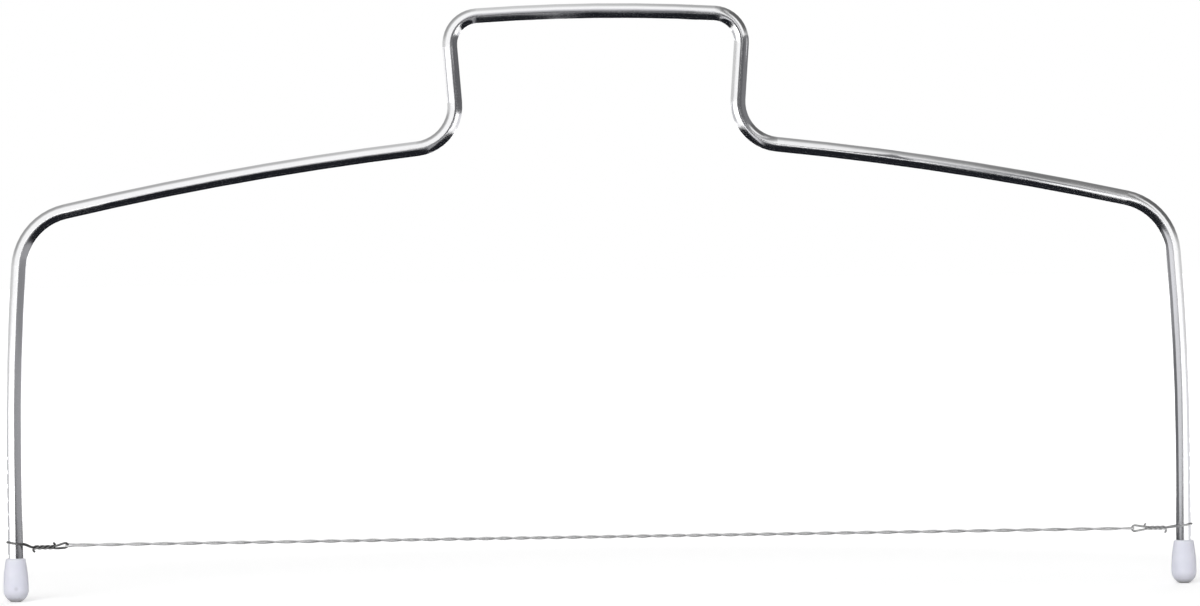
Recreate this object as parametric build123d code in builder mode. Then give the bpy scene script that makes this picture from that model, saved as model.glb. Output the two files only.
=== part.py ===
from build123d import *
from math import acos, asin, atan2, degrees, hypot, sqrt
import os

# Wire cake leveler. A steel rod is bent into a handle, two sloping shoulders and two
# legs. Each leg has notches on its outer side, and a plastic foot. A taut cutting wire
# runs from leg to leg between two wire hooks, whose rings lie in the notches.
# Millimetres. Upright as used: +Z up, +X along the cutting wire, and the origin on the
# table midway between the feet.

# Frame rod, measured on its centreline. Corners are where its stretches would meet unbent.
rod_diameter = 4.0
leg_spacing = 313.2
leg_straight_height = 39.5
leg_lean = 3.0
shoulder_height = 101.2
shoulder_rise = 19.3
shoulder_bow = 2.0
shoulder_bend_radius = 16.0
root_bend_radius = 11.5
handle_rise = 33.65
handle_side_lean = 2.5
handle_width = 79.2
handle_bow = 1.5
handle_bend_radius = 7.6
rod_end_chamfer = 0.5

# Feet, pressed over the rod's ends.
foot_height = 11.6
foot_diameter = 6.75
foot_belly_height = 3.2
foot_top_diameter = 5.2
foot_base_diameter = 2.4
foot_floor = 2.5
foot_fit = 0.03
foot_edge_radius = 0.5

# Notches, sawn across the outer side of each leg. The lowest one clears the foot's rim.
notch_count = 8
notch_pitch = 3.74
notch_width = 1.2
notch_depth = 0.3
foot_to_notch = 0.6
notches_below_ring = 1

# Hooks, each bent from one wire: a ring round the leg, a twisted shank and an eye.
hook_wire_diameter = 0.6
seat_fit = 0.2
ring_fit = 0.15
ring_corner_radius = 0.9
ring_rise = 1.0
ring_to_shank = 2.5
shank_diameter = 1.2
shank_length = 5.3
eye_length = 4.0
eye_width = 2.2
tail_length = 1.5
tail_slant = 52.0
left_hook_roll = 35.0
right_hook_roll = 8.0

# Cutting wire: two strands twisted together, looped through the eyes at both ends.
strand_diameter = 0.5
link_fit = 0.03
link_length = 2.4

strand_gap = 0.04
fuse_overlap = 0.4
cut_overrun = 1.0

rod_radius = rod_diameter / 2
leg_x = leg_spacing / 2
shoulder_x = leg_x - leg_lean
root_height = shoulder_height + shoulder_rise
handle_x = handle_width / 2
root_x = handle_x - handle_side_lean
handle_height = root_height + handle_rise

lowest_notch = foot_height + foot_to_notch
ring_height = lowest_notch + notches_below_ring * notch_pitch
wire_height = ring_height - ring_rise

hook_wire_radius = hook_wire_diameter / 2
ring_radius = rod_radius + ring_fit + hook_wire_radius
ring_seat = rod_radius - notch_depth + seat_fit + hook_wire_radius
shank_start = ring_radius + ring_to_shank
shank_end = shank_start + shank_length
ring_tilt = degrees(asin(ring_rise / (shank_start + ring_seat)))
eye_radius = eye_width / 2 - hook_wire_radius
eye_tip = shank_end + eye_length - hook_wire_radius

strand_radius = strand_diameter / 2
wire_diameter = 2 * strand_diameter
link_radius = hook_wire_radius + link_fit + strand_radius
link_end = eye_tip + link_length


def inward_plane(side, distance=0.0, slant=0.0, roll=0.0):
    """A plane on the wire's axis, at a distance from one leg, its x axis towards the other.

    It is upright at first. The slant lowers its x axis, and the roll then turns it about
    the wire's axis, both in degrees.
    """
    x_dir = Vector(-side, 0, 0).rotate(Axis.Y, -side * slant).rotate(Axis.X, roll)
    z_dir = Vector(0, side, 0).rotate(Axis.X, roll)
    return Plane(origin=(side * (leg_x - distance), 0, wire_height), x_dir=x_dir, z_dir=z_dir)


def bent_loop(plane, radius, neck, wire_radius, seat=None, seat_corner=None):
    """A wire bent round the plane's origin, its ends side by side at the neck on the x axis.

    A seat is a straight stretch opposite the neck, at this distance from the origin.
    """
    half_gap = wire_radius + strand_gap / 2
    touch_angle = degrees(atan2(half_gap, neck) + acos(radius / hypot(neck, half_gap)))
    touch = Vector(radius, 0).rotate(Axis.Z, touch_angle)
    with BuildLine(plane) as path:
        strand = Line((neck, half_gap), (touch.X, touch.Y))
        if seat is None:
            CenterArc((0, 0), radius, touch_angle, 360 - 2 * touch_angle)
        else:
            seat_angle = degrees(acos(-seat / radius))
            seat_end = sqrt(radius**2 - seat**2)
            CenterArc((0, 0), radius, touch_angle, seat_angle - touch_angle)
            Line((-seat, seat_end), (-seat, -seat_end))
            CenterArc((0, 0), radius, -seat_angle, seat_angle - touch_angle)
        Line((touch.X, -touch.Y), (neck, -half_gap))
        if seat is not None:
            fillet(path.vertices().sort_by_distance(strand @ 0)[-2:], seat_corner)
    with BuildSketch(Plane(origin=strand @ 0, z_dir=strand % 0)) as section:
        Circle(wire_radius)
    sweep(section.sketch, path=path.line)


def round_bar(plane, start, end, diameter):
    """A round bar along the plane's x axis."""
    base = Plane(origin=plane.from_local_coords((start, 0, 0)), z_dir=plane.x_dir)
    with BuildSketch(base) as section:
        Circle(diameter / 2)
    extrude(section.sketch, amount=end - start)


def make_foot(side):
    """A pear-shaped cap with a flat base and a blind bore for the rod's end."""
    with BuildPart() as foot:
        with BuildSketch(Plane.XZ.shift_origin((side * leg_x, 0, 0))):
            with BuildLine():
                belly = (foot_diameter / 2, foot_belly_height)
                base_corner = (foot_base_diameter / 2, 0)
                top_corner = (foot_top_diameter / 2, foot_height)
                TangentArc(belly, base_corner, tangent=(0, -1))
                TangentArc(belly, top_corner, tangent=(0, 1))
                Polyline(base_corner, (0, 0), (0, foot_height), top_corner)
            make_face()
        revolve(axis=Axis((side * leg_x, 0, 0), (0, 0, 1)))
        with Locations((side * leg_x, 0, foot_height)):
            Hole(rod_radius + foot_fit, depth=foot_height - foot_floor)
        rims = foot.edges().group_by(Axis.Z)[-1].sort_by(SortBy.RADIUS)
        fillet(rims[-1], foot_edge_radius)
    return foot


def make_hook(side, roll):
    """A ring tilted round the leg, a shank along the wire's axis, two cut ends and an eye."""
    with BuildPart() as hook:
        slanted = inward_plane(side, shank_start, slant=ring_tilt)
        ring_centre = slanted.from_local_coords((-shank_start, 0, 0))
        ring_plane = Plane(origin=ring_centre, x_dir=slanted.x_dir, z_dir=slanted.y_dir)
        bent_loop(ring_plane, ring_radius, shank_start, hook_wire_radius, ring_seat, ring_corner_radius)
        shank_axis = inward_plane(side, roll=roll)
        round_bar(shank_axis, shank_start - fuse_overlap, shank_end + fuse_overlap, shank_diameter)
        eye_centre = eye_tip - eye_radius
        outward = inward_plane(side, eye_centre, slant=180, roll=roll)
        bent_loop(outward, eye_radius, eye_centre - shank_end, hook_wire_radius)
        lower_tail = inward_plane(side, shank_start, slant=tail_slant, roll=roll)
        round_bar(lower_tail, 0, tail_length, hook_wire_diameter)
        upper_tail = inward_plane(side, shank_end, slant=tail_slant - 180, roll=roll)
        round_bar(upper_tail, 0, tail_length, hook_wire_diameter)
    return hook


# The rod: half its centreline, mirrored, joined by the handle's bar, then bent.
with BuildPart() as frame_rod:
    with BuildLine(Plane.XZ) as centreline:
        Line((leg_x, foot_floor), (leg_x, leg_straight_height))
        TangentArc((leg_x, leg_straight_height), (shoulder_x, shoulder_height), tangent=(0, 1))
        SagittaArc((shoulder_x, shoulder_height), (root_x, root_height), -shoulder_bow)
        Line((root_x, root_height), (handle_x, handle_height))
        mirror(about=Plane.YZ)
        bar_middle = (0, handle_height + handle_bow)
        ThreePointArc((-handle_x, handle_height), bar_middle, (handle_x, handle_height))
        fillet(centreline.vertices().group_by(Axis.Z)[4], handle_bend_radius)
        fillet(centreline.vertices().group_by(Axis.Z)[3], root_bend_radius)
        fillet(centreline.vertices().group_by(Axis.Z)[2], shoulder_bend_radius)
    with BuildSketch(Plane.XY.offset(foot_floor)):
        with Locations((leg_x, 0)):
            Circle(rod_radius)
    sweep(path=centreline.line)
    chamfer(frame_rod.edges().group_by(Axis.Z)[0], rod_end_chamfer)
    notch_radius = (notch_depth + (notch_width / 2) ** 2 / notch_depth) / 2
    notch_x = leg_x + rod_radius - notch_depth + notch_radius
    middle_notch = lowest_notch + (notch_count - 1) * notch_pitch / 2
    with Locations(Plane.XZ.shift_origin((0, 0, middle_notch))):
        with GridLocations(2 * notch_x, notch_pitch, 2, notch_count):
            Cylinder(notch_radius, rod_diameter + cut_overrun, mode=Mode.SUBTRACT)
frame_rod.part.label = "frame_rod"

left_foot = make_foot(-1)
left_foot.part.label = "left_foot"
right_foot = make_foot(1)
right_foot.part.label = "right_foot"

left_hook = make_hook(-1, left_hook_roll)
left_hook.part.label = "left_hook"
right_hook = make_hook(1, right_hook_roll)
right_hook.part.label = "right_hook"

# The cutting wire, with a link at each end that passes through the hook's eye.
with BuildPart() as cutting_wire:
    span = inward_plane(-1)
    wire_end = leg_spacing - link_end + fuse_overlap
    round_bar(span, link_end - fuse_overlap, wire_end, wire_diameter)
    for side, roll in ((-1, left_hook_roll), (1, right_hook_roll)):
        across_eye = inward_plane(side, eye_tip, roll=roll + 90)
        bent_loop(across_eye, link_radius, link_length, strand_radius)
cutting_wire.part.label = "cutting_wire"

os.makedirs("parts", exist_ok=True)
for piece in (frame_rod, left_foot, right_foot, left_hook, right_hook, cutting_wire):
    export_step(piece.part, f"parts/{piece.part.label}.step")
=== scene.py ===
import math

import bpy
from mathutils import Matrix, Vector


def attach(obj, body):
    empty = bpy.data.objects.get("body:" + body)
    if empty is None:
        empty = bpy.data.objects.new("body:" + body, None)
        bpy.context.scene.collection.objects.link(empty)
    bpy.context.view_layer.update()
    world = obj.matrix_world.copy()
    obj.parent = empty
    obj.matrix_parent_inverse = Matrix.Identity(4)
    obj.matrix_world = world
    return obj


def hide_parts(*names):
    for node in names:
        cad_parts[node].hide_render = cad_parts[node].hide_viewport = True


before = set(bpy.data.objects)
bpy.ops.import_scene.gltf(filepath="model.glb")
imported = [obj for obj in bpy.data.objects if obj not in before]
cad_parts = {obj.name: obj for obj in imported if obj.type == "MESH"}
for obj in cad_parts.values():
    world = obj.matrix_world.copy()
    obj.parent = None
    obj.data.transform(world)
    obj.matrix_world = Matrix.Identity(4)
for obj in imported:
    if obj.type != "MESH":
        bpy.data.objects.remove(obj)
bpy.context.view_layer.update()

# Lengths of the object, in millimetres. +X runs along the cutting wire, and a side is -1 for
# the left and 1 for the right. The wires are drawn a little thinner than in the solids.
MM = 0.001
LEG_X = 156.6
ROD_RADIUS = 2.0
NOTCHED_HEIGHT = 40.0
WIRE_HEIGHT = 14.94
FOOT_HEIGHT = 11.6
GATE_MARK = (-156.4, -3.4, 3.6)

HOOK_WIRE_RADIUS = 0.29
RING_RADIUS = 2.45
RING_SEAT = 2.2
RING_RISE = 1.0
SHANK_START = 4.95
SHANK_LENGTH = 5.3
EYE_TO_SHANK = 3.7
EYE_RADIUS = 0.8
HOOK_ROLLS = {-1: math.radians(35.0), 1: math.radians(8.0)}
SHANK_TURNS = -2.0
SHANK_SAG = {-1: 0.5, 1: 0.0}

# The sag starts this far from the leg, and ends at the eye's tip. It grows and fades over these.
SAG_START = 2.2
SAG_GROWTH = 2.4
SAG_FADING = 3.6

# A cut end of the hook's wire: its bend away from the shank, then its straight length.
TAIL_SLANT = math.radians(52.0)
TAIL_BEND = 0.35
TAIL_LENGTH = 0.65

STRAND_RADIUS = 0.24
STRAND_OFFSET = 0.26
LINK_RADIUS = 0.58
LINK_LENGTH = 2.4
HALF_LAY = 5.6
TWIST_UNEVENNESS = 0.035

SHANK_END = SHANK_START + SHANK_LENGTH
EYE_TIP = SHANK_END + EYE_TO_SHANK
RING_TILT = math.asin(RING_RISE / (SHANK_START + RING_SEAT))

# How finely the wires are drawn, and how sharp the corners of a ring's seat are.
HOOK_SPACING = 0.11
HOOK_SIDES = 12
HOOK_SMOOTHING = 5
WIRE_SPACING = 0.3
WIRE_SIDES = 10
WIRE_SMOOTHING = 2
STRAIGHT_STEPS = 8
SHANK_STEPS = 44
RING_STEPS = 72
LOOP_STEPS = 40
TWIST_STEPS = 1400
SEAT_SHARPNESS = 24


# Paths and tubes

def hook_frame(side, slant=0.0, roll=0.0):
    """Axes at one hook: inwards along the wire, lowered by the slant, then up, then across."""
    along = Vector((-side, 0, 0))
    up = Matrix.Rotation(roll, 3, "X") @ Vector((0, 0, 1))
    lowered = along * math.cos(slant) - up * math.sin(slant)
    raised = along * math.sin(slant) + up * math.cos(slant)
    return lowered, raised, lowered.cross(raised)


def on_axis(x):
    """A point on the cutting wire's axis."""
    return Vector((x, 0, WIRE_HEIGHT))


def off_axis(angle, offset):
    """A step off the wire's axis, at an angle from across."""
    return Vector((0, math.cos(angle), math.sin(angle))) * offset


def between(a, b, share):
    return (a[0] + (b[0] - a[0]) * share, a[1] + (b[1] - a[1]) * share)


def loop_outline(radius, neck, half_gap, steps, seat=None):
    """Points in a plane from one side of the neck, round the origin, to the other side.

    A seat flattens the loop opposite the neck, at this distance from the origin.
    """
    touch = math.atan2(half_gap, neck) + math.acos(radius / math.hypot(neck, half_gap))
    points = []
    for i in range(steps + 1):
        angle = touch + (2 * math.pi - 2 * touch) * i / steps
        reach = radius
        if seat is not None and math.cos(angle) < 0:
            flat = seat / -math.cos(angle)
            reach = (radius ** -SEAT_SHARPNESS + flat ** -SEAT_SHARPNESS) ** (-1 / SEAT_SHARPNESS)
        points.append((reach * math.cos(angle), reach * math.sin(angle)))
    start, end = (neck, half_gap), (neck, -half_gap)
    shares = [i / STRAIGHT_STEPS for i in range(STRAIGHT_STEPS + 1)]
    first = [between(start, points[0], share) for share in shares[:-1]]
    last = [between(points[-1], end, share) for share in shares[1:]]
    return first + points + last


def smoothed(points, rounds, closed=False):
    """Evens out kinks. The ends of an open path stay."""
    for _ in range(rounds):
        count = len(points)
        new = list(points)
        for i in range(count):
            if closed or 0 < i < count - 1:
                new[i] = points[i] * 0.5 + (points[i - 1] + points[(i + 1) % count]) * 0.25
        points = new
    return points


def resampled(points, spacing, closed=False):
    """The same path with evenly spaced points."""
    pts = list(points) + ([points[0]] if closed else [])
    lengths = [0.0]
    for a, b in zip(pts, pts[1:]):
        lengths.append(lengths[-1] + (b - a).length)
    count = max(3, round(lengths[-1] / spacing))
    result = []
    j = 0
    for i in range(count if closed else count + 1):
        goal = lengths[-1] * i / count
        while j < len(pts) - 2 and lengths[j + 1] < goal:
            j += 1
        span = lengths[j + 1] - lengths[j]
        result.append(pts[j].lerp(pts[j + 1], (goal - lengths[j]) / span if span else 0.0))
    return result


def evened(points, spacing, rounds, closed=False):
    """The path with its kinks smoothed out, and with evenly spaced points."""
    points = resampled(points, spacing, closed)
    return resampled(smoothed(points, rounds, closed), spacing, closed)


def tube(name, points, radius, sides, closed=False):
    """A round wire along the points, in millimetres, with flat cut ends where it is open."""
    count = len(points)
    tangents = []
    for i in range(count):
        before = points[i - 1] if closed or i else points[0]
        after = points[(i + 1) % count] if closed or i < count - 1 else points[-1]
        tangents.append((after - before).normalized())
    normal = tangents[0].orthogonal().normalized()
    normals = [normal]
    for i in range(1, count):
        turn = tangents[i - 1].rotation_difference(tangents[i])
        normal = turn @ normal
        normal = (normal - tangents[i] * normal.dot(tangents[i])).normalized()
        normals.append(normal)
    drift = 0.0
    if closed:
        back = tangents[-1].rotation_difference(tangents[0]) @ normals[-1]
        drift = math.atan2(tangents[0].dot(back.cross(normals[0])), back.dot(normals[0]))
    verts = []
    for i, (point, tangent, normal) in enumerate(zip(points, tangents, normals)):
        binormal = tangent.cross(normal)
        for k in range(sides):
            angle = 2 * math.pi * k / sides + drift * i / count
            offset = normal * math.cos(angle) + binormal * math.sin(angle)
            verts.append((point + offset * radius) * MM)
    faces = []
    for i in range(count if closed else count - 1):
        a, b = i * sides, (i + 1) % count * sides
        for k in range(sides):
            m = (k + 1) % sides
            faces.append((a + k, a + m, b + m, b + k))
    if not closed:
        faces.append(tuple(reversed(range(sides))))
        faces.append(tuple(range((count - 1) * sides, count * sides)))
    mesh = bpy.data.meshes.new(name)
    mesh.from_pydata([tuple(v) for v in verts], [], faces)
    mesh.validate()
    for polygon in mesh.polygons:
        polygon.use_smooth = len(polygon.vertices) == 4
    piece = bpy.data.objects.new(name, mesh)
    bpy.context.scene.collection.objects.link(piece)
    return piece


def sag(side, x):
    """How far the shank hangs below the wire's axis. It eases in from the ring and the eye."""
    distance = LEG_X - side * x
    from_ring = min(max((distance - SAG_START) / SAG_GROWTH, 0.0), 1.0)
    from_eye = min(max((EYE_TIP - distance) / SAG_FADING, 0.0), 1.0)
    share = min(from_ring, from_eye)
    return SHANK_SAG[side] * share * share * (3 - 2 * share)


def make_hook(side, name):
    """One wire: cut end, shank, ring, shank, eye, shank, cut end. The shank's strands twist."""
    roll = HOOK_ROLLS[side]
    strand_offset = HOOK_WIRE_RADIUS * 2 / math.sqrt(3)
    eye_up = math.pi / 2 + roll
    turned = (eye_up - math.radians(210)) % (2 * math.pi) + 2 * math.pi * SHANK_TURNS

    def strand(base):
        """One of the shank's three strands, from the ring's end to the eye's."""
        points = []
        for i in range(SHANK_STEPS + 1):
            share = i / SHANK_STEPS
            x = side * (LEG_X - (SHANK_START + SHANK_LENGTH * share))
            points.append(on_axis(x) + off_axis(math.radians(base) + turned * share, strand_offset))
        return points

    first = strand(150)[::-1]
    second = strand(30)
    third = strand(270)[::-1]

    along, _, across = hook_frame(side, RING_TILT)
    centre = on_axis(side * (LEG_X - SHANK_START)) - along * SHANK_START
    flip = 1 if across.y < 0 else -1
    outline = loop_outline(RING_RADIUS, SHANK_START, strand_offset, RING_STEPS, RING_SEAT)
    ring = [centre + along * u + across * (v * flip) for u, v in outline]

    along, up, _ = hook_frame(side, roll=roll)
    centre = on_axis(side * (LEG_X - EYE_TIP + EYE_RADIUS))
    outline = loop_outline(EYE_RADIUS, EYE_TIP - EYE_RADIUS - SHANK_END, strand_offset, LOOP_STEPS)
    eye = [centre - along * u - up * v for u, v in outline]

    out = along + up * 0.6
    slanted = (up * math.sin(TAIL_SLANT) - along * math.cos(TAIL_SLANT)).normalized()

    def tail(root, sign):
        """A cut end, from where it leaves the shank."""
        bent = root + out * (0.5 * sign) + slanted * (TAIL_BEND * sign)
        return [root + out * (0.25 * sign), bent, bent + slanted * (TAIL_LENGTH * sign)]

    path = tail(first[0], 1)[::-1] + first + ring + second + eye + third + tail(third[-1], -1)
    path = evened(path, HOOK_SPACING, HOOK_SMOOTHING)
    path = [point - Vector((0, 0, sag(side, point.x))) for point in path]
    return tube(name, path, HOOK_WIRE_RADIUS, HOOK_SIDES)


def make_cutting_wire():
    """One wire doubled: a link through each eye, and its two halves twisted between them."""
    left_x, right_x = (side * (LEG_X - EYE_TIP - LINK_LENGTH) for side in (-1, 1))
    length = right_x - left_x
    turned = HOOK_ROLLS[1] - HOOK_ROLLS[-1] + math.pi * round(length / HALF_LAY)

    def strand(phase):
        """One half of the wire, twisted a little unevenly."""
        points = []
        for i in range(TWIST_STEPS + 1):
            share = i / TWIST_STEPS
            uneven = share - TWIST_UNEVENNESS * math.sin(2 * math.pi * share)
            angle = HOOK_ROLLS[-1] + turned * uneven + phase
            points.append(on_axis(left_x + length * share) + off_axis(angle, STRAND_OFFSET))
        return points

    def link(side, root):
        """From the strand's end at the root, round the eye's wire, to the other strand."""
        tip = on_axis(side * (LEG_X - EYE_TIP))
        inward = Vector((-side, 0, 0))
        away = (root - on_axis(root.x)).normalized()
        outline = loop_outline(LINK_RADIUS, LINK_LENGTH, STRAND_OFFSET, LOOP_STEPS)
        return [tip + inward * u + away * v for u, v in outline]

    there, back = strand(0.0), strand(math.pi)
    path = there + link(1, there[-1]) + back[::-1] + link(-1, back[0])
    path = evened(path, WIRE_SPACING, WIRE_SMOOTHING, True)
    return tube("twisted_wire", path, STRAND_RADIUS, WIRE_SIDES, True)


# Materials

def new_material(name, metallic, roughness):
    material = bpy.data.materials.new(name)
    material.use_nodes = True
    shader = material.node_tree.nodes["Principled BSDF"]
    shader.inputs["Metallic"].default_value = metallic
    shader.inputs["Roughness"].default_value = roughness
    return material, material.node_tree, shader


def bare_material(name):
    """A material without a shader yet, with its tree and the socket of its surface."""
    material = bpy.data.materials.new(name)
    material.use_nodes = True
    tree = material.node_tree
    tree.nodes.remove(tree.nodes["Principled BSDF"])
    return material, tree, tree.nodes["Material Output"].inputs["Surface"]


def add(tree, kind, **values):
    """A node, with its input sockets or its own settings set by name."""
    node = tree.nodes.new(kind)
    for key, value in values.items():
        if key in node.inputs:
            node.inputs[key].default_value = value
        else:
            setattr(node, key, value)
    return node


def math_node(tree, operation, a, b=None):
    node = tree.nodes.new("ShaderNodeMath")
    node.operation = operation
    for socket, value in zip(node.inputs, (a, b)):
        if value is None:
            continue
        if isinstance(value, (int, float)):
            socket.default_value = value
        else:
            tree.links.new(value, socket)
    return node.outputs[0]


def product(tree, a, b):
    return math_node(tree, "MULTIPLY", a, b)


def weighted(tree, a, a_weight, b, b_weight):
    """The two values mixed by their weights."""
    return math_node(tree, "ADD", product(tree, a, a_weight), product(tree, b, b_weight))


def colour_product(tree, a, b):
    node = add(tree, "ShaderNodeVectorMath", operation="MULTIPLY")
    tree.links.new(a, node.inputs[0])
    tree.links.new(b, node.inputs[1])
    return node.outputs[0]


def ramp(tree, value, stops):
    """A colour ramp over grey levels or colours, from (place, colour) pairs."""
    node = tree.nodes.new("ShaderNodeValToRGB")
    tree.links.new(value, node.inputs[0])
    elements = node.color_ramp.elements
    while len(elements) < len(stops):
        elements.new(0.5)
    for element, (place, colour) in zip(elements, stops):
        element.position = place
        level = colour if isinstance(colour, tuple) else (colour, colour, colour)
        element.color = (*level, 1)
    return node.outputs[0]


def coordinates(tree, kind):
    """The texture coordinates of this kind, whole, and split into X, Y and Z."""
    where = tree.nodes.new("ShaderNodeTexCoord").outputs[kind]
    split = tree.nodes.new("ShaderNodeSeparateXYZ")
    tree.links.new(where, split.inputs[0])
    return where, split.outputs


def noise(tree, scale, detail):
    where = tree.nodes.new("ShaderNodeTexCoord")
    node = add(tree, "ShaderNodeTexNoise", Scale=scale, Detail=detail)
    tree.links.new(where.outputs["Object"], node.inputs["Vector"])
    return node.outputs["Fac"]


def bump(tree, shader, height, strength, distance):
    node = add(tree, "ShaderNodeBump", Strength=strength, Distance=distance)
    tree.links.new(height, node.inputs["Height"])
    tree.links.new(node.outputs[0], shader.inputs["Normal"])


def steel(name, tones, roughness, metallic=1.0):
    """Drawn steel wire: its tone and its roughness vary in fine and broad patches."""
    material, tree, shader = new_material(name, metallic, roughness[1])
    fine = noise(tree, 1500, 4.0)
    broad = noise(tree, 125, 2.0)
    tone = ramp(tree, weighted(tree, fine, 0.5, broad, 0.5), [(0.3, tones[0]), (0.7, tones[1])])
    tree.links.new(tone, shader.inputs["Base Color"])
    gloss = ramp(tree, broad, [(0.3, roughness[0]), (0.7, roughness[1])])
    tree.links.new(gloss, shader.inputs["Roughness"])
    bump(tree, shader, fine, 0.15, 0.00002)
    return material


def inside_notches(tree):
    """1 on the cut faces of the notches, which lie deeper than the rod's round surface."""
    _, place = coordinates(tree, "Object")
    outward = math_node(tree, "SUBTRACT", math_node(tree, "ABSOLUTE", place["X"]), LEG_X * MM)
    square = math_node(tree, "ADD", product(tree, outward, outward),
                       product(tree, place["Y"], place["Y"]))
    depth = math_node(tree, "SUBTRACT", ROD_RADIUS * MM, math_node(tree, "SQRT", square))
    deep = math_node(tree, "GREATER_THAN", depth, 0.00002)
    low = math_node(tree, "LESS_THAN", place["Z"], NOTCHED_HEIGHT * MM)
    outer = math_node(tree, "GREATER_THAN", outward, 0.0)
    return product(tree, product(tree, deep, low), outer)


def rod_material():
    """Polished steel with faint wiping marks, and rougher sawn metal inside the notches, whose
    darker colour there is painted shade.
    """
    material, tree, shader = new_material("polished_rod", 1.0, 0.1)
    fine = noise(tree, 2600, 3.0)
    broad = noise(tree, 55, 3.0)
    haze = noise(tree, 420, 2.0)
    notch = inside_notches(tree)

    tone = ramp(tree, broad, [(0.3, (0.9, 0.9, 0.91)), (0.7, (0.95, 0.95, 0.96))])
    # Painted shade: the faces inside the notches get a darker colour than the polished rod.
    mix = add(tree, "ShaderNodeMix", data_type="RGBA")
    tree.links.new(notch, mix.inputs["Factor"])
    tree.links.new(tone, mix.inputs["A"])
    mix.inputs["B"].default_value = (0.62, 0.62, 0.63, 1)
    tree.links.new(mix.outputs["Result"], shader.inputs["Base Color"])

    gloss = ramp(tree, weighted(tree, broad, 0.6, haze, 0.4), [(0.35, 0.1), (0.7, 0.19)])
    rougher = math_node(tree, "ADD", gloss, product(tree, notch, 0.3))
    tree.links.new(rougher, shader.inputs["Roughness"])
    bump(tree, shader, fine, 0.012, 0.000005)
    return material


def foot_material():
    """Moulded plastic, a little translucent, with painted shade and scuffing along its lower edge,
    and a faint gate mark.
    """
    material, tree, shader = new_material("foot_plastic", 0.0, 0.38)
    fine = noise(tree, 1800, 3.0)
    broad = noise(tree, 260, 2.0)
    colour = ramp(tree, broad, [(0.3, (0.73, 0.74, 0.83)), (0.7, (0.79, 0.79, 0.88))])

    where, place = coordinates(tree, "Object")
    height = math_node(tree, "DIVIDE", place["Z"], FOOT_HEIGHT * MM)
    base_shade_height = math_node(tree, "ADD", height, product(tree, fine, 0.06))
    # Painted shade: the colour darkens towards the base, where the foot meets the floor, together
    # with scuffing.
    base_shade_and_scuff = ramp(tree, base_shade_height, [
        (0.04, (0.5, 0.49, 0.44)),
        (0.14, (0.84, 0.84, 0.83)),
        (0.3, 1.0),
    ])
    gate = add(tree, "ShaderNodeVectorMath", operation="DISTANCE")
    tree.links.new(where, gate.inputs[0])
    gate.inputs[1].default_value = [length * MM for length in GATE_MARK]
    mark = ramp(tree, product(tree, gate.outputs["Value"], 1 / MM), [(0.25, 0.86), (0.75, 1.0)])
    shaded_scuffed_and_marked = colour_product(tree, colour, colour_product(tree, base_shade_and_scuff, mark))
    tree.links.new(shaded_scuffed_and_marked, shader.inputs["Base Color"])

    gloss = ramp(tree, broad, [(0.3, 0.32), (0.7, 0.44)])
    tree.links.new(gloss, shader.inputs["Roughness"])
    shader.inputs["Subsurface Weight"].default_value = 0.25
    shader.inputs["Subsurface Radius"].default_value = (1.0, 0.9, 1.1)
    shader.inputs["Subsurface Scale"].default_value = 0.0012
    shader.inputs["Specular IOR Level"].default_value = 0.3
    bump(tree, shader, fine, 0.12, 0.00003)
    return material


def dress(piece, material):
    piece.data.materials.clear()
    piece.data.materials.append(material)


rod_finish = rod_material()
foot_finish = foot_material()
# Painted shade and light: both hooks are the same steel; the left one's colour is darkened and the
# right one's lightened to stand for how each is lit.
lit_and_shaded_hook_finishes = {
    -1: steel("hook_steel_shaded", (0.16, 0.3), (0.3, 0.42)),
    1: steel("hook_steel_lit", (0.5, 0.68), (0.34, 0.46)),
}
wire_finish = steel("wire_steel", (0.72, 0.86), (0.46, 0.58), metallic=0.7)

dress(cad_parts["frame_rod"], rod_finish)
for node in ("left_foot", "right_foot"):
    dress(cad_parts[node], foot_finish)

for side, node in ((-1, "left_hook"), (1, "right_hook")):
    hook = make_hook(side, node + "_twisted")
    dress(hook, lit_and_shaded_hook_finishes[side])
    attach(hook, "wire")
    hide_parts(node)

twisted = make_cutting_wire()
dress(twisted, wire_finish)
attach(twisted, "wire")
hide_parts("cutting_wire")


# Camera. From here on, lengths are in metres.

YAW = math.radians(-2.8)
ELEVATION = math.radians(1.0)
ROLL = math.radians(-0.75)
DISTANCE = 1.6
AIM = Vector((0.000215, 0.0, 0.0775))
LENS = 179.37
SENSOR_WIDTH = 36.0
FAR_CLIP = 50.0


def make_camera():
    """A camera that looks at the aim, turned to the side, raised and rolled."""
    forward = Vector((
        -math.sin(YAW) * math.cos(ELEVATION),
        math.cos(YAW) * math.cos(ELEVATION),
        -math.sin(ELEVATION),
    ))
    level = Vector((math.cos(YAW), math.sin(YAW), 0.0))
    upward = level.cross(forward)
    right = level * math.cos(ROLL) + upward * math.sin(ROLL)
    top = upward * math.cos(ROLL) - level * math.sin(ROLL)
    camera_data = bpy.data.cameras.new("camera")
    camera_data.lens = LENS
    camera_data.sensor_width = SENSOR_WIDTH
    camera_data.clip_end = FAR_CLIP
    camera = bpy.data.objects.new("camera", camera_data)
    bpy.context.scene.collection.objects.link(camera)
    rotation = Matrix((right, top, -forward)).transposed().to_4x4()
    camera.matrix_world = Matrix.Translation(AIM - forward * DISTANCE) @ rotation
    bpy.context.scene.camera = camera


make_camera()


# Stage: the floor, and plain grey cards that the rod reflects

FLOOR_CORNERS = [(-6, -6, 0), (6, -6, 0), (6, 6, 0), (-6, 6, 0)]
LOW_CARD_HEIGHT = 0.0006
CARD_FADE = (0.3, 0.75)


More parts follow.
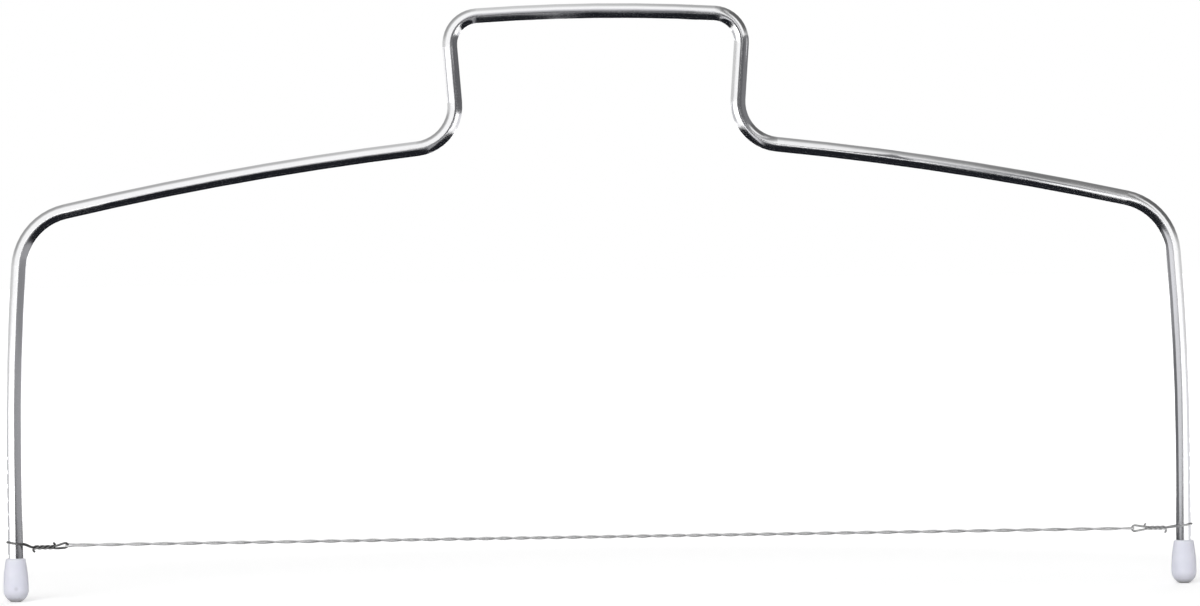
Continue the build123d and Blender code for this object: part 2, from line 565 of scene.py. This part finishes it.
def seen_by_eye(tree):
    """1 for rays from the camera, from gloss and through glass, and 0 for diffuse light."""
    path = tree.nodes.new("ShaderNodeLightPath").outputs
    both = math_node(tree, "MAXIMUM", path["Is Camera Ray"], path["Is Glossy Ray"])
    return math_node(tree, "MAXIMUM", both, path["Is Transmission Ray"])


def plane(name, corners, material):
    mesh = bpy.data.meshes.new(name)
    mesh.from_pydata(corners, [], [(0, 1, 2, 3)])
    mesh.materials.append(material)
    item = bpy.data.objects.new(name, mesh)
    bpy.context.scene.collection.objects.link(item)
    return item


def floor_material():
    """White paper that keeps the shadow near the object, and is plain white further off."""
    material, tree, surface = bare_material("floor_paper")
    where = tree.nodes.new("ShaderNodeTexCoord")
    reach = add(tree, "ShaderNodeVectorMath", operation="LENGTH")
    tree.links.new(where.outputs["Object"], reach.inputs[0])
    lift = ramp(tree, reach.outputs["Value"], [(0.2, 0.32), (0.6, 1.0)])
    paper = add(tree, "ShaderNodeBsdfDiffuse", Color=(0.86, 0.86, 0.86, 1))
    glow = add(tree, "ShaderNodeEmission", Color=(1, 1, 1, 1))
    tree.links.new(product(tree, seen_by_eye(tree), lift), glow.inputs["Strength"])
    both = tree.nodes.new("ShaderNodeAddShader")
    tree.links.new(paper.outputs[0], both.inputs[0])
    tree.links.new(glow.outputs[0], both.inputs[1])
    tree.links.new(both.outputs[0], surface)
    return material


def shade(level):
    """A grey with a little blue in its dark tones."""
    return (level, level + 0.001, level * 1.03 + 0.004)


def card(name, corners, level, reverse=None, distant=None, nearest=0.0):
    """A card of a plain grey that only gloss sees, and only from further off than the nearest.

    The reverse is the level of its other side. A card with a distant level fades to it as it
    is seen from further away.
    """
    material, tree, surface = bare_material(name)
    glow = add(tree, "ShaderNodeEmission", Color=(*shade(level), 1), Strength=1.0)
    ray_length = tree.nodes.new("ShaderNodeLightPath").outputs["Ray Length"]
    if distant is not None:
        near, far = CARD_FADE
        fading = ramp(tree, ray_length, [(near, shade(level)), (far, shade(distant))])
        tree.links.new(fading, glow.inputs["Color"])
    if reverse is not None:
        back = tree.nodes.new("ShaderNodeNewGeometry").outputs["Backfacing"]
        sides = ramp(tree, back, [(0.0, shade(level)), (1.0, shade(reverse))])
        tree.links.new(sides, glow.inputs["Color"])
    clear = tree.nodes.new("ShaderNodeBsdfTransparent")
    either = tree.nodes.new("ShaderNodeMixShader")
    far_enough = math_node(tree, "GREATER_THAN", ray_length, nearest)
    tree.links.new(far_enough, either.inputs[0])
    tree.links.new(clear.outputs[0], either.inputs[1])
    tree.links.new(glow.outputs[0], either.inputs[2])
    tree.links.new(either.outputs[0], surface)
    item = plane(name, corners, material)
    item.visible_camera = False
    item.visible_diffuse = False
    item.visible_shadow = False
    item.visible_transmission = False


def low_card(name, corners, level, distant=None):
    """A card that lies on the floor, from its corners' X and Y."""
    card(name, [(x, y, LOW_CARD_HEIGHT) for x, y in corners], level, distant=distant)


def side_card(name, x, y, z, rightward, leftward, nearest):
    """An upright card across the wire, with a level for each of its sides."""
    corners = [(x, y[0], z[0]), (x, y[1], z[0]), (x, y[1], z[1]), (x, y[0], z[1])]
    card(name, corners, rightward, leftward, nearest=nearest)


def front_card(name, y, x, z, level):
    """An upright card in front of the object."""
    corners = [(x[0], y, z[0]), (x[1], y, z[0]), (x[1], y, z[1]), (x[0], y, z[1])]
    card(name, corners, level)


plane("floor", FLOOR_CORNERS, floor_material())

# Under the object, beyond it, ahead of it and to both sides.
low_card("card_under", [(-0.13, -0.5), (0.125, -0.5), (0.15, 0.06), (-0.15, 0.06)], 0.012, 0.33)
low_card("card_beyond", [(-0.15, 0.06), (0.15, 0.06), (0.16, 0.4), (-0.16, 0.4)], 0.012, 0.33)
low_card("card_ahead", [(-0.16, -1.7), (0.0, -1.7), (0.125, -0.5), (-0.13, -0.5)], 0.012, 0.33)
low_card("card_left", [(-5, 0.0), (-0.22, 0.0), (-0.22, 2.0), (-5, 2.0)], 0.55)
low_card("card_right", [(0.22, -0.02), (5, -2.0), (5, 2.0), (0.22, 2.0)], 0.75)

# In front of the object. The brow and the streak are graded from dark to light, upwards.
front_card("card_front", -1.7, (-0.16, 0.01), (0.0, 0.11), 0.33)
front_card("card_knee", -0.6, (0.09, 0.27), (0.0, 0.06), 0.56)
front_card("card_flag", -0.6, (0.185, 0.25), (0.11, 0.45), 0.16)
for name, bottom, top, tone in (
    ("card_brow_low", 0.09, 0.157, 0.13),
    ("card_brow_middle", 0.157, 0.235, 0.4),
    ("card_brow_high", 0.235, 0.32, 0.74),
):
    front_card(name, -0.25, (-0.045, 0.058), (bottom, top), tone)
for bottom, top, tone in (
    (0.0, 0.06, 0.16),
    (0.06, 0.13, 0.25),
    (0.13, 0.2, 0.36),
    (0.2, 0.31, 0.5),
):
    leaning = (0.117 + bottom * 0.05, 0.142 + bottom * 0.12)
    front_card(f"card_streak_{top}", -0.3, leaning, (bottom, top), tone)

# Across the wire, in front of it and behind it, at three heights, and inside the handle.
side_card("card_low_front", 0.0, (-1.3, -0.045), (0.001, 0.055), 0.66, 0.33, 0.13)
side_card("card_low_back", 0.0, (-0.045, 0.15), (0.001, 0.055), 0.14, 0.33, 0.13)
side_card("card_middle_front", 0.0, (-1.3, -0.045), (0.055, 0.11), 0.76, 0.25, 0.13)
side_card("card_middle_back", 0.0, (-0.045, 0.15), (0.055, 0.11), 0.26, 0.25, 0.13)
side_card("card_high_front", 0.09, (-2.2, -0.045), (0.11, 0.158), 0.06, 0.12, 0.05)
side_card("card_high_back", 0.09, (-0.045, 0.3), (0.11, 0.158), 0.08, 0.18, 0.05)
side_card("card_handle", 0.03, (-0.1, 0.12), (0.124, 0.175), 0.12, 0.12, 0.05)


# World: a white tent. Gloss sees it with grey regions, and diffuse light gets less of it.

AMBIENT = 0.43


def dimness(tree):
    """How much darker than white the tent is, by direction."""
    _, towards = coordinates(tree, "Generated")
    x, y = towards["X"], towards["Y"]
    raised = ramp(tree, towards["Z"], [(0.1, 0.0), (0.3, 1.0)])

    # Behind the object, and more so where it is raised, to both sides.
    backward = math_node(tree, "ADD", product(tree, y, 0.5), 0.5)
    behind = ramp(tree, backward, [
        (0.25, 0.0),
        (0.38, 0.55),
        (0.56, 1.0),
        (0.96, 1.0),
        (1.0, 0.5),
    ])
    rightward = ramp(tree, x, [(0.03, 0.0), (0.12, 0.55), (0.4, 1.0)])
    leftward = ramp(tree, product(tree, x, -1.0), [(0.03, 0.0), (0.22, 0.5), (0.4, 0.62)])
    corners = math_node(tree, "MAXIMUM", product(tree, raised, rightward),
                        product(tree, raised, leftward))
    dusk = math_node(tree, "ADD", 0.36, product(tree, corners, 0.46))
    back = product(tree, behind, dusk)

    # A raised strip on the right.
    strip = ramp(tree, x, [
        (0.19, 0.0),
        (0.24, 0.6),
        (0.28, 0.82),
        (0.36, 0.8),
        (0.42, 0.3),
        (0.5, 0.0),
    ])
    patch = product(tree, raised, strip)

    # The far right, raised, apart from the front.
    aside = ramp(tree, x, [(0.38, 0.0), (0.52, 0.88), (0.9, 0.88), (1.0, 0.5)])
    late = ramp(tree, math_node(tree, "ADD", y, 0.7), [(0.1, 0.0), (0.3, 1.0)])
    bend = product(tree, product(tree, aside, late), raised)

    return math_node(tree, "MAXIMUM", back, math_node(tree, "MAXIMUM", patch, bend))


def make_world():
    world = bpy.data.worlds.new("studio")
    bpy.context.scene.world = world
    world.use_nodes = True
    tree = world.node_tree
    background = tree.nodes["Background"]
    background.inputs["Color"].default_value = (1, 1, 1, 1)
    tent = math_node(tree, "SUBTRACT", 1.0, dimness(tree))
    path = tree.nodes.new("ShaderNodeLightPath")
    shown = add(tree, "ShaderNodeMix", data_type="FLOAT")
    tree.links.new(path.outputs["Is Glossy Ray"], shown.inputs["Factor"])
    shown.inputs["A"].default_value = 1.0
    tree.links.new(tent, shown.inputs["B"])
    plain = math_node(tree, "ADD", product(tree, seen_by_eye(tree), 1 - AMBIENT), AMBIENT)
    tree.links.new(product(tree, plain, shown.outputs[0]), background.inputs["Strength"])


make_world()


def soft_light(name, place, width, energy):
    """A square lamp that shines on the object, and that gloss doesn't show."""
    lamp_data = bpy.data.lights.new(name, "AREA")
    lamp_data.size = width
    lamp_data.energy = energy
    lamp = bpy.data.objects.new(name, lamp_data)
    bpy.context.scene.collection.objects.link(lamp)
    lamp.location = place
    middle = Vector((0, 0, 0.08))
    lamp.rotation_euler = (middle - lamp.location).to_track_quat("-Z", "Y").to_euler()
    lamp.visible_glossy = False


soft_light("key", (-0.45, -1.55, 1.0), 1.1, 21.0)
soft_light("fill", (0.5, 1.6, 0.9), 1.1, 9.0)

bpy.context.scene.view_settings.view_transform = "Standard"
